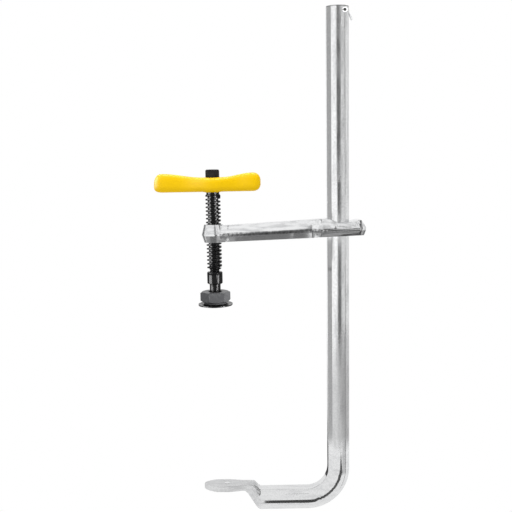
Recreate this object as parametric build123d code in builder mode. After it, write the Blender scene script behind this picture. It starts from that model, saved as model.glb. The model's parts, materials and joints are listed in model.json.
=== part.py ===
from build123d import *
from math import copysign, cos, pi, sin, sqrt
import os

os.makedirs("parts", exist_ok=True)

# A sliding-arm screw clamp. All sizes are in millimetres.
# The origin lies on the fixed jaw's face, where the spindle's axis meets it.
# +Z runs up the bar, +X from the spindle towards the bar.

# Clearances
slot_clearance = 0.4      # arm's slot round the bar
thread_clearance = 0.08   # spindle in the arm's eye, on the radius
swivel_clearance = 0.2    # ball in the foot's cup
ring_clearance = 0.35     # snap ring in the cap's hollow
ring_play = 0.1           # snap ring in the ball's groove
press_clearance = 0.02    # pieces pressed or screwed together
end_play = 0.1            # room beyond the ends of tenon and drive, and round neck and bolt
stop_play = 0.3           # stop barb in its slot
pin_play = 0.08           # stop barb on its pin
over = 1.0                # how far a cut runs past the piece

# Bar: a ten-sided section with flats, chamfers and crowned faces
throat = 120.0            # spindle axis to the bar's inner flat
bar_top = 508.0           # bar's upper end above the jaw's face
bar_depth = 23.0          # inner flat to outer flat
bar_flat = 10.0           # width of the inner and outer flats
bar_chamfer_depth = 4.4   # chamfer, measured along the depth
bar_chamfer_side = 3.2    # chamfer, measured across the bar
bar_crown = 1.4           # rise of each side face to its ridge
bar_edge = 0.7            # rounding of the section's corners
bar_ridge = 20.0          # rounding of the two ridges
bend_inner = 23.5         # inner radius of the bend
top_edge = 0.4            # chamfer at the bar's upper end

# Fixed jaw: a forged tongue and the neck that joins it to the lower arm
jaw_rise = 6.0            # jaw's face above the lower arm's inner flat
jaw_tip = 17.2            # tip beyond the spindle's axis
jaw_width = 18.8          # across the tongue
jaw_thick = 7.2           # tongue at the neck
jaw_tip_thick = 5.0       # tongue at its tip
jaw_nose = 23.0           # length of the tongue's rounded end
jaw_edge = 0.9            # broken upper edge of the tongue, along its width
jaw_edge_high = 0.63
jaw_draft = 0.27          # draft from that edge to the tongue's widest line
jaw_side = 3.24           # widest line below the jaw's face
jaw_low_draft = 0.54      # draft from there to the lower edge
jaw_low_edge = 1.98       # broken lower edge, along the width
jaw_low_high = 1.17
neck_start = 8.0          # where the tongue begins to draw in
neck_middle = 29.0        # where it is narrowest and begins to turn into the bar
neck_end = 45.0           # where the bar has its full section
neck_waist = 2.7          # how much it draws in on each side
neck_step = 8.0           # length of the step from the jaw's face down to the bar
neck_belly = 3.0          # neck's underside starts to drop this far before the waist
neck_lag = (0, 0.15, 0.6, 1, 1)  # how far each corner of the section follows the underside
neck_steps = 24
dimple_x = 7.6            # centre of the dimple in the jaw's face
dimple_width = 6.6
dimple_deep = 0.9

# Stop: a hollow spring pin and a sprung barb in a slot at the bar's outer edge
stop_inset = 4.4          # pin's axis inside the outer flat
stop_drop = 4.6           # pin's axis below the bar's end
pin_width = 5.4
pin_bore = 3.0
pin_length = 16.2
pin_slit = 0.7
barb_wide = 4.0           # across the bar
barb_ring = 1.1           # wall of the barb's ring round the pin
barb_thick = 1.4          # of the barb's tail
barb_out = 3.6            # barb's tip beyond the outer flat
barb_drop = 8.0           # barb's tip below the pin's axis
barb_shoulder = 1.6       # where the tail leaves the ring, above the pin's axis
knee_out = 0.5            # tail's bend beyond the outer flat
knee_up = 0.4             # tail's bend above the pin's axis
stop_slot_deep = 15.0     # slot below the pin's axis

# Rest pose
opening = 201.0           # fixed jaw's face to the foot's face
screw_out = 76.6          # foot's face to the arm's parting line at the spindle

# Sliding arm: a forging, drafted up and down from its parting line
arm_slope = 0.028         # rise of the parting line towards the bar
arm_land = 3.0            # height of the trimmed flash at the parting line
beam_half = 9.2           # half width at the parting line
beam_top_half = 5.0
beam_bottom_half = 5.4
beam_up = 9.3             # beam above its parting line, at the eye
beam_down = 8.0           # beam below its parting line
beam_grow = 2.1           # how much higher the beam gets at the head
eye_top = 10.9            # eye's top above the parting line
eye_bottom = 8.0          # eye's bottom below the parting line
eye_half = 12.8           # radius at the parting line
eye_top_half = 10.2
eye_bottom_half = 10.4
eye_land = 1.4
eye_round = 1.2
root_wide = 1.4           # how much wider the beam leaves the eye, on each side
root_length = 4.5         # length of that widening beyond the eye
head_inner = 5.5          # head's cheeks begin this far before the bar
head_flare = 11.0         # length of the flare from the beam
head_outer = 16.4         # head's end beyond the bar
head_wall = 6.6           # cheek beside the bar at the parting line
head_draft = 3.6          # draft of a cheek, parting line to top
head_up = 11.7            # cheek above its parting line, before the bar
head_dip = 4.2            # how much lower the cheek is beside the bar
head_rise = 1.6           # how much of that it regains at its end
head_down = 7.0
head_nose = 7.0           # length of the tapered end
nose_taper = 6.0          # how much narrower the end is, on each side
end_draft_up = 6.6        # lean of the end, parting line to top
end_draft_down = 2.0      # lean of the end, parting line to bottom

# Spindle
thread_width = 16.0       # outside of the trapezoidal thread
thread_length = 80.0
thread_lead = 1.6         # chamfer at the thread's lower end
thread_end = 1.2          # cone at its upper end, along the axis
undercut_length = 2.6     # plain gap between the collar and the thread
tenon_width = 10.0        # lower tenon, also the undercut below the thread
tenon_length = 10.0       # inside the stud
top_neck = 13.7           # plain neck under the handle
top_neck_length = 3.4     # thread's end to the shoulder that carries the handle
drive_flats = 12.0        # across the two driving flats
drive_length = 10.0
bolt_width = 9.5
bolt_deep = 18.0          # tapped hole below the spindle's end
bolt_length = 15.9        # screw below the core

# Swivel stud
collar_width = 16.6
collar_length = 13.0
collar_edge = 0.9
stud_neck = 11.8
stud_neck_length = 8.5    # cap's top to the collar
ball_width = 13.6
wire_wide = 1.6           # snap ring, along the radius
wire_high = 1.6           # snap ring, along the axis
groove_deep = 0.8
ring_gap = 3.0

# Swivel pad
foot_floor = 3.0          # foot's wall under the ball
cup_relief = 0.245        # cup's wall beyond the ball's clear radius
cup_break = 5.04          # middle corner of the cup's wall below the ball's centre
foot_width = 36.8
foot_rim = 1.7            # rim's height above the foot's face
foot_dish = 0.5
foot_bevel_wide = 3.9     # bevel under the rim, along the radius
foot_bevel_high = 0.9
lip_flat = 1.0            # flat top of the rim
foot_fillet_wide = 2.4    # cone from the flange up to the spigot
foot_shoulder = 0.6
cap_flats = 28.0
cap_turn = 10.0           # hexagon's turn in the rest pose
cap_waist = 25.0
cap_waist_high = 2.0      # waist below the hexagon
cap_edge = 1.2            # cone that breaks the hexagon's corners, along the axis
cap_edge_wide = 2.16      # the same along the radius
spigot_width = 18.8
spigot_gap = 2.2          # spigot below the snap ring, room to tilt
hollow_high = 2.6         # straight wall of the cap's hollow above the ball's centre
lip_run = 1.5             # cone from that wall to the lip
lip_width = 13.86         # passes the ball, holds the snap ring
mouth_width = 15.2
mouth_high = 1.4          # flare above the lip

# Handle
grip_floor = 1.1          # grip below the core
grip_left = 61.5
grip_right = 50.8
grip_lobe = 19.6          # height at the lobes
grip_boss = 0.9           # hub's bulge underneath
grip_end = 9.0            # length of each rounded end
grip_cap = 0.2            # angle at which each end's rounding is cut flat, in radians
grip_tip_left = 0.28      # height of each tip, as a share of the lobes' height
grip_tip_right = 0.47
grip_round = 3.0          # how boxy the rounded section is, 2 for an ellipse
grip_nose = 2.5           # how boxy the rounded ends are
grip_hub_long = 20.0      # length of the level top round the screw
grip_sides = 20
grip_lobe_wide = 19.4
grip_waist_wide = 15.4
grip_hub_wide = 27.0
core_hub = 16.8
core_web = 2.7
core_bar_wide = 7.0
core_bar_high = 9.0
core_end = 14.0           # grip beyond the core's ends
head_width = 14.6
head_high = 9.3
head_edge = 0.9
head_sink = 1.3           # head's seat below the grip's top
head_room = 0.4

# Places that follow from these sizes
bar_half = bar_flat / 2 + bar_chamfer_side + bar_crown
bar_mid_x = throat + bar_depth / 2
bar_out_x = throat + bar_depth
bar_mid_z = -jaw_rise - bar_depth / 2
bend_x = throat - bend_inner
bend_z = -jaw_rise + bend_inner
pin_x = bar_out_x - stop_inset
pin_z = bar_top - stop_drop
ball_radius = ball_width / 2
cup_radius = ball_radius + swivel_clearance
foot_top = opening + foot_floor
ball_z = foot_top + cup_radius
groove_radius = ball_radius - groove_deep
ring_inner = groove_radius + ring_play
ring_outer = ring_inner + wire_wide
hollow_radius = ring_outer + ring_clearance
spigot_top = ball_z - wire_high / 2 - spigot_gap
cap_bottom = foot_top + cap_waist_high
cap_top = ball_z + hollow_high + lip_run + mouth_high
collar_bottom = cap_top + stud_neck_length
collar_top = collar_bottom + collar_length
thread_bottom = collar_top + undercut_length
thread_top = thread_bottom + thread_length
neck_shoulder = thread_top + top_neck_length
drive_top = neck_shoulder + drive_length
core_top = drive_top + end_play + core_web
grip_bottom = neck_shoulder - grip_floor
arm_z = opening + screw_out


def across(x, z=0):
    """Plane square to X at x and z, with its own x along Y and its own y along Z."""
    return Plane((x, 0, z), x_dir=(0, 1, 0), z_dir=(1, 0, 0))


def ring_of(half):
    """Closed outline of a symmetric section from its right half, top to bottom."""
    return half + [(-y, z) for y, z in reversed(half)]


def ease(value, low, high):
    """Smooth step from 0 at low to 1 at high."""
    t = min(max((value - low) / (high - low), 0.0), 1.0)
    return t * t * (3 - 2 * t)


def mix(a, b, t):
    return a + (b - a) * t


def spread(low, high, steps):
    """Evenly spaced values from low to high, both included."""
    return [mix(low, high, i / steps) for i in range(steps + 1)]


# Right half of the bar's section about its middle: inner flat first, outer flat last
bar_outline = [
    (bar_flat / 2, bar_depth / 2),
    (bar_flat / 2 + bar_chamfer_side, bar_depth / 2 - bar_chamfer_depth),
    (bar_half, 0),
    (bar_flat / 2 + bar_chamfer_side, bar_chamfer_depth - bar_depth / 2),
    (bar_flat / 2, -bar_depth / 2),
]

# Half thickness at the rounded ridge, which lies a little below the sharp one
ridge_slope = bar_crown / (bar_depth / 2 - bar_chamfer_depth)
ridge_half = bar_half - bar_ridge * (sqrt(1 + ridge_slope**2) - 1)

# Right half of the tongue's section, its face at z = 0
tongue_outline = [
    (jaw_width / 2 - jaw_edge, 0),
    (jaw_width / 2 - jaw_draft, -jaw_edge_high),
    (jaw_width / 2, -jaw_side),
    (jaw_width / 2 - jaw_low_draft, -jaw_thick + jaw_low_high),
    (jaw_width / 2 - jaw_low_edge, -jaw_thick),
]


def neck_outline(x):
    """Right half of the neck's section at x, between tongue and bar."""
    top = ease(x, neck_end - neck_step, neck_end)
    low = ease(x, neck_middle - neck_belly, neck_end)
    side = ease(x, neck_middle, neck_end)
    waist = neck_waist * ease(x, neck_start, neck_middle) * (1 - side)
    half = []
    for lag, tongue, bar in zip(neck_lag, tongue_outline, bar_outline):
        drop = mix(top, low, lag)
        bar_y = min(bar[0], ridge_half)
        half.append((mix(tongue[0], bar_y, side) - waist, mix(tongue[1], bar[1] + bar_mid_z, drop)))
    return half


# Bar's section with its rounded corners
with BuildSketch() as bar_section:
    with BuildLine():
        Polyline(*ring_of(bar_outline), close=True)
    make_face()
    fillet(bar_section.vertices().filter_by(lambda v: abs(v.Y) >= bar_edge), bar_edge)
    fillet(bar_section.vertices().filter_by(lambda v: abs(v.Y) < bar_edge), bar_ridge)

# Bar with its bend, lower arm, neck and fixed jaw
with BuildPart() as bar:
    with BuildSketch(across(neck_start)):
        with BuildLine():
            Polyline(*ring_of(tongue_outline), close=True)
        make_face()
    extrude(amount=-(neck_start + jaw_tip))
    with BuildSketch(Plane.XY):
        with Locations((jaw_nose - jaw_tip, 0)):
            Ellipse(jaw_nose, jaw_width / 2)
        with Locations((jaw_nose - jaw_tip, 0)):
            Rectangle(neck_start + jaw_tip, jaw_width, align=(Align.MIN, Align.CENTER))
    extrude(amount=jaw_thick, both=True, mode=Mode.INTERSECT)
    with BuildSketch(Plane.XZ):
        with BuildLine():
            Polyline(
                (-jaw_tip, -jaw_tip_thick),
                (neck_start, -jaw_thick),
                (neck_start, -2 * jaw_thick),
                (-jaw_tip, -2 * jaw_thick),
                close=True,
            )
        make_face()
    extrude(amount=jaw_width, both=True, mode=Mode.SUBTRACT)
    for neck_x in spread(neck_start, neck_end, neck_steps):
        with BuildSketch(across(neck_x)):
            with BuildLine():
                Polyline(*ring_of(neck_outline(neck_x)), close=True)
            make_face()
    loft(ruled=True)
    with BuildSketch(across(neck_end, bar_mid_z)):
        add(bar_section.sketch)
    extrude(amount=bend_x - neck_end)
    with BuildSketch(across(bend_x, bar_mid_z)):
        add(bar_section.sketch)
    revolve(axis=Axis((bend_x, 0, bend_z), (0, -1, 0)), revolution_arc=90)
    with BuildSketch(Plane((bar_mid_x, 0, bend_z), x_dir=(0, 1, 0), z_dir=(0, 0, 1))):
        add(bar_section.sketch)
    extrude(amount=bar_top - bend_z)
    chamfer(bar.faces().sort_by(Axis.Z)[-1].edges(), top_edge)
    with Locations((dimple_x, 0, 0)):
        dimple_radius = (dimple_width**2 / 4 + dimple_deep**2) / (2 * dimple_deep)
        with Locations((0, 0, dimple_radius - dimple_deep)):
            Sphere(dimple_radius, mode=Mode.SUBTRACT)
    with BuildSketch(Plane.XZ):
        with Locations((pin_x, pin_z)):
            Circle(pin_width / 2 + press_clearance)
    extrude(amount=bar_half + over, both=True, mode=Mode.SUBTRACT)
    slot_back = pin_x - pin_width / 2 - barb_ring - pin_play - stop_play
    with BuildSketch(Plane.XZ):
        with BuildLine():
            Polyline(
                (slot_back, pin_z - stop_slot_deep),
                (bar_out_x + over, pin_z - stop_slot_deep),
                (bar_out_x + over, bar_top + over),
                (slot_back, bar_top + over),
                close=True,
            )
        make_face()
    extrude(amount=barb_wide / 2 + stop_play, both=True, mode=Mode.SUBTRACT)
bar.part.label = "bar"
export_step(bar.part, "parts/bar.step")

# Hollow spring pin with its slit turned to the bar's middle
with BuildPart() as stop_pin:
    with BuildSketch(Plane.XZ):
        with Locations((pin_x, pin_z)):
            Circle(pin_width / 2)
            Circle(pin_bore / 2, mode=Mode.SUBTRACT)
        with Locations((pin_x, pin_z)):
            Rectangle(pin_width, pin_slit, align=(Align.MAX, Align.CENTER), mode=Mode.SUBTRACT)
    extrude(amount=pin_length / 2, both=True)
stop_pin.part.label = "stop_pin"
export_step(stop_pin.part, "parts/stop_pin.step")

# Sprung barb: a ring on the pin with a bent tail that juts out of the bar
with BuildPart() as stop_spring:
    ring_out = pin_width / 2 + pin_play + barb_ring
    shoulder = (pin_x + ring_out, pin_z + barb_shoulder)
    knee = (bar_out_x + knee_out, pin_z + knee_up)
    tip = (bar_out_x + barb_out, pin_z - barb_drop)
    with BuildSketch(Plane.XZ):
        with BuildLine():
            Polyline((pin_x, pin_z + ring_out - barb_thick / 2), shoulder, knee, tip)
            offset(amount=barb_thick / 2)
        make_face()
        with Locations((pin_x, pin_z)):
            Circle(ring_out)
            Circle(pin_width / 2 + pin_play, mode=Mode.SUBTRACT)
    extrude(amount=barb_wide / 2, both=True)
stop_spring.part.label = "stop_spring"
export_step(stop_spring.part, "parts/stop_spring.step")


def parting(x):
    """Height of the arm's parting line at x."""
    return arm_z + arm_slope * x


head_x = throat - head_inner
flare_x = head_x - head_flare
head_end_x = bar_out_x + head_outer
nose_x = head_end_x - head_nose
cheek_half = bar_half + head_wall


def arm_outline(x):
    """Right half of the arm's drafted section at x, from its top to its bottom."""
    root = root_wide * (1 - ease(x, eye_half - root_length, eye_half + root_length))
    flare = ease(x, flare_x, head_x)
    nose = nose_taper * ease(x, nose_x, head_end_x + head_nose)
    dip = head_dip * ease(x, throat, bar_mid_x) - head_rise * ease(x, bar_out_x, nose_x)
    half = mix(beam_half + root, cheek_half, flare) - nose
    top_half = mix(beam_top_half + root, cheek_half - head_draft, flare) - nose
    low_half = mix(beam_bottom_half + root, cheek_half - head_draft, flare) - nose
    up = mix(beam_up + beam_grow * x / flare_x, head_up, flare) - dip
    down = mix(beam_down, head_down, flare)
    mid = parting(x)
    return [
        (top_half, mid + up),
        (half, mid + arm_land / 2),
        (half, mid - arm_land / 2),
        (low_half, mid - down),
    ]


# Sliding arm: drafted beam, flared head with the bar's slot, and the threaded eye
with BuildPart() as sliding_arm:
    arm_x = (
        [0.0]
        + spread(eye_half - root_length, eye_half + root_length, 6)
        + spread(flare_x, head_x, 8)
        + spread(throat, bar_mid_x, 6)
        + spread(bar_out_x, nose_x, 3)
        + spread(nose_x, head_end_x, 5)[1:]
    )
    for station_x in arm_x:
        with BuildSketch(across(station_x)):
            with BuildLine():
                Polyline(*ring_of(arm_outline(station_x)), close=True)
            make_face()
    loft(ruled=True)
    end_z = parting(head_end_x)
    with BuildSketch(Plane.XZ):
        with BuildLine():
            Polyline(
                (0, arm_z - 2 * beam_down),
                (head_end_x - 2 * end_draft_down, end_z - 2 * head_down),
                (head_end_x, end_z - arm_land / 2),
                (head_end_x, end_z + arm_land / 2),
                (head_end_x - 2 * end_draft_up, end_z + 2 * head_up),
                (0, arm_z + 2 * beam_up),
                close=True,
            )
        make_face()
    extrude(amount=2 * cheek_half, both=True, mode=Mode.INTERSECT)
    with BuildSketch(Plane.XZ) as eye_section:
        with BuildLine():
            Polyline(
                (0, arm_z - eye_bottom),
                (eye_bottom_half, arm_z - eye_bottom),
                (eye_half, arm_z - eye_land / 2),
                (eye_half, arm_z + eye_land / 2),
                (eye_top_half, arm_z + eye_top),
                (0, arm_z + eye_top),
                close=True,
            )
        make_face()
        rim = eye_section.vertices().filter_by(lambda v: v.X > over)
        fillet(rim.sort_by(Axis.Z)[-1:] + rim.sort_by(Axis.Z)[:1], eye_round)
    revolve(axis=Axis.Z)
    with BuildSketch(Plane.XY.offset(arm_z)):
        Circle(thread_width / 2 + thread_clearance)
    extrude(amount=4 * eye_top, both=True, mode=Mode.SUBTRACT)
    with BuildSketch(Plane((bar_mid_x, 0, arm_z), x_dir=(0, 1, 0), z_dir=(0, 0, 1))):
        add(bar_section.sketch)
        offset(amount=slot_clearance)
    extrude(amount=4 * eye_top, both=True, mode=Mode.SUBTRACT)
sliding_arm.part.label = "sliding_arm"
export_step(sliding_arm.part, "parts/sliding_arm.step")

# Spindle: thread body, undercut and tenon below, neck with two driving flats above
with BuildPart() as spindle:
    with BuildSketch(Plane.XZ):
        with BuildLine():
            Polyline(
                (0, collar_top - tenon_length),
                (tenon_width / 2, collar_top - tenon_length),
                (tenon_width / 2, thread_bottom),
                (thread_width / 2 - thread_lead, thread_bottom),
                (thread_width / 2, thread_bottom + thread_lead),
                (thread_width / 2, thread_top - thread_end),
                (top_neck / 2, thread_top),
                (top_neck / 2, drive_top),
                (0, drive_top),
                close=True,
            )
        make_face()
    revolve(axis=Axis.Z)
    with BuildSketch(Plane.XY.offset(neck_shoulder)):
        Rectangle(2 * top_neck, 2 * top_neck)
        Rectangle(2 * top_neck, drive_flats, mode=Mode.SUBTRACT)
    extrude(amount=2 * drive_length, mode=Mode.SUBTRACT)
    with BuildSketch(Plane.XY.offset(drive_top)):
        Circle(bolt_width / 2 + press_clearance)
    extrude(amount=-bolt_deep, mode=Mode.SUBTRACT)
spindle.part.label = "spindle"
export_step(spindle.part, "parts/spindle.step")

# Swivel stud: collar on the spindle's tenon, neck, and a ball with a groove for the snap ring
with BuildPart() as swivel_stud:
    neck_meets = ball_z + sqrt(ball_radius**2 - (stud_neck / 2) ** 2)
    with BuildSketch(Plane.XZ):
        with BuildLine():
            Line((0, ball_z - ball_radius), (0, collar_top))
            Polyline(
                (0, collar_top),
                (collar_width / 2 - collar_edge, collar_top),
                (collar_width / 2, collar_top - collar_edge),
                (collar_width / 2, collar_bottom + collar_edge),
                (collar_width / 2 - collar_edge, collar_bottom),
                (stud_neck / 2, collar_bottom),
                (stud_neck / 2, neck_meets),
            )
            ThreePointArc((stud_neck / 2, neck_meets), (ball_radius, ball_z), (0, ball_z - ball_radius))
        make_face()
        with Locations((groove_radius, ball_z)):
            groove_high = wire_high + 2 * ring_play
            Rectangle(ball_width, groove_high, align=(Align.MIN, Align.CENTER), mode=Mode.SUBTRACT)
    revolve(axis=Axis.Z)
    with BuildSketch(Plane.XY.offset(collar_top)):
        Circle(tenon_width / 2 + press_clearance)
    extrude(amount=-(tenon_length + end_play), mode=Mode.SUBTRACT)
swivel_stud.part.label = "swivel_stud"
export_step(swivel_stud.part, "parts/swivel_stud.step")

# Snap ring of flat wire, open by a gap
with BuildPart() as retaining_ring:
    with BuildSketch(Plane.XY.offset(ball_z)):
        Circle(ring_outer)
        Circle(ring_inner, mode=Mode.SUBTRACT)
        Rectangle(2 * ring_outer, ring_gap, align=(Align.MIN, Align.CENTER), mode=Mode.SUBTRACT)
    extrude(amount=wire_high / 2, both=True)
retaining_ring.part.label = "retaining_ring"
export_step(retaining_ring.part, "parts/retaining_ring.step")

# Hexagonal cap of the swivel pad, hollow round the ball, with a lip that the ring snaps past
with BuildPart() as pad_cap:
    with BuildSketch(Plane.XY.offset(cap_bottom)):
        RegularPolygon(cap_flats / 2, 6, major_radius=False, rotation=cap_turn)
    extrude(amount=cap_top - cap_bottom)
    corner = cap_flats / sqrt(3)
    with BuildSketch(Plane.XZ):
        with BuildLine():
            Polyline(
                (0, cap_bottom),
                (corner - cap_edge_wide, cap_bottom),
                (corner, cap_bottom + cap_edge),
                (corner, cap_top - cap_edge),
                (corner - cap_edge_wide, cap_top),
                (0, cap_top),
                close=True,
            )
        make_face()
    revolve(axis=Axis.Z, mode=Mode.INTERSECT)
    with BuildSketch(Plane.XY.offset(foot_top)):
        Circle(cap_waist / 2)
    extrude(amount=cap_waist_high)
    with BuildSketch(Plane.XZ):
        with BuildLine():
            Polyline(
                (0, cap_top),
                (mouth_width / 2, cap_top),
                (lip_width / 2, cap_top - mouth_high),
                (hollow_radius, ball_z + hollow_high),
                (hollow_radius, spigot_top),
                (spigot_width / 2 + press_clearance, spigot_top),
                (spigot_width / 2 + press_clearance, foot_top),
                (0, foot_top),
                close=True,
            )
        make_face()
    revolve(axis=Axis.Z, mode=Mode.SUBTRACT)
pad_cap.part.label = "pad_cap"
export_step(pad_cap.part, "parts/pad_cap.step")


def cup_edge(drop):
    """Radius of the cup's wall at a drop below the ball's centre, just clear of the ball."""
    return sqrt(max((cup_radius + cup_relief) ** 2 - drop**2, 0))


# Foot of the swivel pad: dished flange and a spigot with a turned cup for the ball
with BuildPart() as pad_foot:
    with BuildSketch(Plane.XZ):
        with BuildLine():
            Polyline(
                (0, foot_top),
                (0, opening),
                (foot_width / 2 - foot_bevel_wide, opening),
                (foot_width / 2, opening + foot_bevel_high),
                (foot_width / 2, opening + foot_rim + foot_dish),
                (foot_width / 2 - lip_flat, opening + foot_rim + foot_dish),
                (cap_waist / 2 + foot_fillet_wide, opening + foot_rim),
                (cap_waist / 2 + foot_shoulder, foot_top),
                (spigot_width / 2, foot_top),
                (spigot_width / 2, spigot_top),
                (cup_edge(ball_z - spigot_top), spigot_top),
                (cup_edge(cup_break), ball_z - cup_break),
                (cup_edge(cup_radius), foot_top),
                close=True,
            )
        make_face()
    revolve(axis=Axis.Z)
pad_foot.part.label = "pad_foot"
export_step(pad_foot.part, "parts/pad_foot.step")

# Handle's core: hub on the spindle's flats, with a bar along both wings
with BuildPart() as handle_core:
    with BuildSketch(Plane.XY.offset(neck_shoulder)):
        Circle(core_hub / 2)
    extrude(amount=core_top - neck_shoulder)
    core_left = -grip_left + core_end
    core_right = grip_right - core_end
    core_mid = (neck_shoulder + core_top) / 2
    with BuildSketch(Plane.XY.offset(core_mid)):
        with Locations(((core_left + core_right) / 2, 0)):
            SlotOverall(core_right - core_left, core_bar_wide)
    extrude(amount=core_bar_high / 2, both=True)
    with BuildSketch(Plane.XY.offset(neck_shoulder)):
        Circle(top_neck / 2 + press_clearance)
        Rectangle(2 * top_neck, drive_flats + 2 * press_clearance, mode=Mode.INTERSECT)
    extrude(amount=drive_length + end_play, mode=Mode.SUBTRACT)
    with BuildSketch(Plane.XY.offset(core_top)):
        Circle(bolt_width / 2 + end_play)
    extrude(amount=-2 * core_web, mode=Mode.SUBTRACT)
handle_core.part.label = "handle_core"
export_step(handle_core.part, "parts/handle_core.step")

grip_top = grip_bottom + grip_lobe
hub_top = core_top + head_sink


def grip_outline(x):
    """Outline of the grip's section at x, a rounded box between the core's ends."""
    reach = grip_left if x < 0 else grip_right
    tip = grip_tip_left if x < 0 else grip_tip_right
    far = abs(x)
    lobe_x = reach - grip_end
    end = min((reach - far) / grip_end, 1.0)
    size = (1 - (1 - end) ** grip_nose) ** (1 / grip_nose)
    rise = ease(far, grip_hub_long / 2, lobe_x)
    waist_x = (grip_hub_long / 2 + lobe_x) / 2
    wide = mix(grip_hub_wide, grip_waist_wide, ease(far, 0, waist_x))
    wide = mix(wide, grip_lobe_wide, ease(far, waist_x, lobe_x))
    high = mix(hub_top, grip_top, rise)
    low = grip_bottom - grip_boss * (1 - ease(far, top_neck / 2, grip_hub_long / 2))
    mid = mix(low, high, tip)
    points = []
    for side in range(grip_sides):
        angle = 2 * pi * (side + 0.5) / grip_sides
        y = copysign(abs(cos(angle)) ** (2 / grip_round), cos(angle)) * wide / 2
        z = copysign(abs(sin(angle)) ** (2 / grip_round), sin(angle)) * (high - low) / 2 + (high + low) / 2
        points.append((size * y, mid + size * (z - mid)))
    return points


# Wing grip moulded round the core
with BuildPart() as handle_grip:
    end_steps = [grip_end * (1 - cos(angle)) for angle in spread(grip_cap, pi / 2, 5)]
    left_x = [-grip_left + step for step in end_steps] + spread(-grip_left + grip_end, 0, 10)[1:]
    right_x = [grip_right - step for step in end_steps] + spread(grip_right - grip_end, 0, 9)[1:-1]
    for station_x in left_x + right_x[::-1]:
        with BuildSketch(across(station_x)):
            with BuildLine():
                Polyline(*grip_outline(station_x), close=True)
            make_face()
    loft(ruled=True)
    add(handle_core.part, mode=Mode.SUBTRACT)
    with BuildSketch(Plane.XY.offset(core_top)):
        Circle(head_width / 2 + head_room)
    extrude(amount=grip_lobe, mode=Mode.SUBTRACT)
    with BuildSketch(Plane.XY.offset(neck_shoulder)):
        Circle(top_neck / 2 + end_play)
    extrude(amount=-grip_lobe, mode=Mode.SUBTRACT)
    with BuildSketch(Plane.XY.offset(neck_shoulder)):
        Circle(core_hub / 2)
    extrude(amount=core_top - neck_shoulder, mode=Mode.SUBTRACT)
handle_grip.part.label = "handle_grip"
export_step(handle_grip.part, "parts/handle_grip.step")

# Cap screw that clamps the core to the spindle
with BuildPart() as handle_screw:
    with BuildSketch(Plane.XY.offset(core_top)):
        Circle(head_width / 2)
    extrude(amount=head_high)
    chamfer(handle_screw.faces().sort_by(Axis.Z)[-1].edges(), head_edge)
    with BuildSketch(Plane.XY.offset(core_top)):
        Circle(bolt_width / 2)
    extrude(amount=-bolt_length)
handle_screw.part.label = "handle_screw"
export_step(handle_screw.part, "parts/handle_screw.step")
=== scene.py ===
"""Studio scene of a sliding-arm screw clamp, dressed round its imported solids.

The clamp stands upright. +Z runs up the bar, +X from the spindle to the bar, and the
camera looks along +Y. The origin lies on the fixed jaw's face. Lengths are in metres.
"""

import json
import logging
from dataclasses import dataclass, field
from enum import Enum
from math import cos, radians, sin, tan
from typing import Callable, Sequence

import bpy
from mathutils import Matrix, Vector

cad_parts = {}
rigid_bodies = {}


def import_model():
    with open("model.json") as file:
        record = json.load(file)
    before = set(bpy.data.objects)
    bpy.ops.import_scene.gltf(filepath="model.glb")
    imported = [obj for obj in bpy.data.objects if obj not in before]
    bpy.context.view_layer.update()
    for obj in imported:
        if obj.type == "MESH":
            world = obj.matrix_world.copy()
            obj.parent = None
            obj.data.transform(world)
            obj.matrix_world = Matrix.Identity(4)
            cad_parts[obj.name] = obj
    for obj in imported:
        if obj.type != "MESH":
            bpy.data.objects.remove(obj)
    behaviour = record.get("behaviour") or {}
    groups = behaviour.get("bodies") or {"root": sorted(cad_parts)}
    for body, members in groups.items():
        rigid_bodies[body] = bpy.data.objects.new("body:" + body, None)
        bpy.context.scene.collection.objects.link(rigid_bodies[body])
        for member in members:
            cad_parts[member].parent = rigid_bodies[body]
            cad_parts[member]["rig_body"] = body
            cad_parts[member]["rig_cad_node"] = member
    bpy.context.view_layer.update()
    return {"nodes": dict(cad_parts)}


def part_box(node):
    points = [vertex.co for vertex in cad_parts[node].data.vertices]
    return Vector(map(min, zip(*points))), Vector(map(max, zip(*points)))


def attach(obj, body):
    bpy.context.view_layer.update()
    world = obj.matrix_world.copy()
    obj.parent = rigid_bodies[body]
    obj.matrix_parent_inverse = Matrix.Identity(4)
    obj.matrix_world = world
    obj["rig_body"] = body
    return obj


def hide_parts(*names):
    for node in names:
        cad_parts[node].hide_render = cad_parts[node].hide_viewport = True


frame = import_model()

log = logging.getLogger("clamp")
Colour = tuple[float, float, float]
Pair = tuple[float, float]
Point = tuple[float, float, float]
Socket = bpy.types.NodeSocket
Term = bpy.types.NodeSocket | float

# X and Z of the stop pin's axis, which its slit keeps off the middle of its box
PIN_AXIS: Pair = (0.1386, 0.5034)


class Body(Enum):
    """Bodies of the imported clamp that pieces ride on."""

    FRAME = "frame"
    STOP = "stop"
    ARM = "arm"
    RING = "ring"
    SPINDLE = "spindle"
    PAD = "pad"


class Slot(Enum):
    """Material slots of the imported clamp."""

    BAR = "zinc_bar"
    FORGING = "zinc_forging"
    SPRING = "spring_steel"
    OXIDE = "black_oxide"
    PAD = "dark_pad"
    CORE = "core_steel"
    GRIP = "yellow_grip"


class Lit(Enum):
    """Groups of pieces that a lamp may be kept to."""

    ALL = ()
    TURNED = ("spindle", "swivel_stud", "pad_foot")
    STOP = ("stop_pin", "stop_spring")
    CAP = ("pad_cap",)
    GRIP = ("handle_grip",)


class Reach(Enum):
    """Kinds of light that a lamp gives."""

    BOTH = "diffuse light and reflections"
    MATTE = "diffuse light alone"
    SHEEN = "reflections alone"


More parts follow.
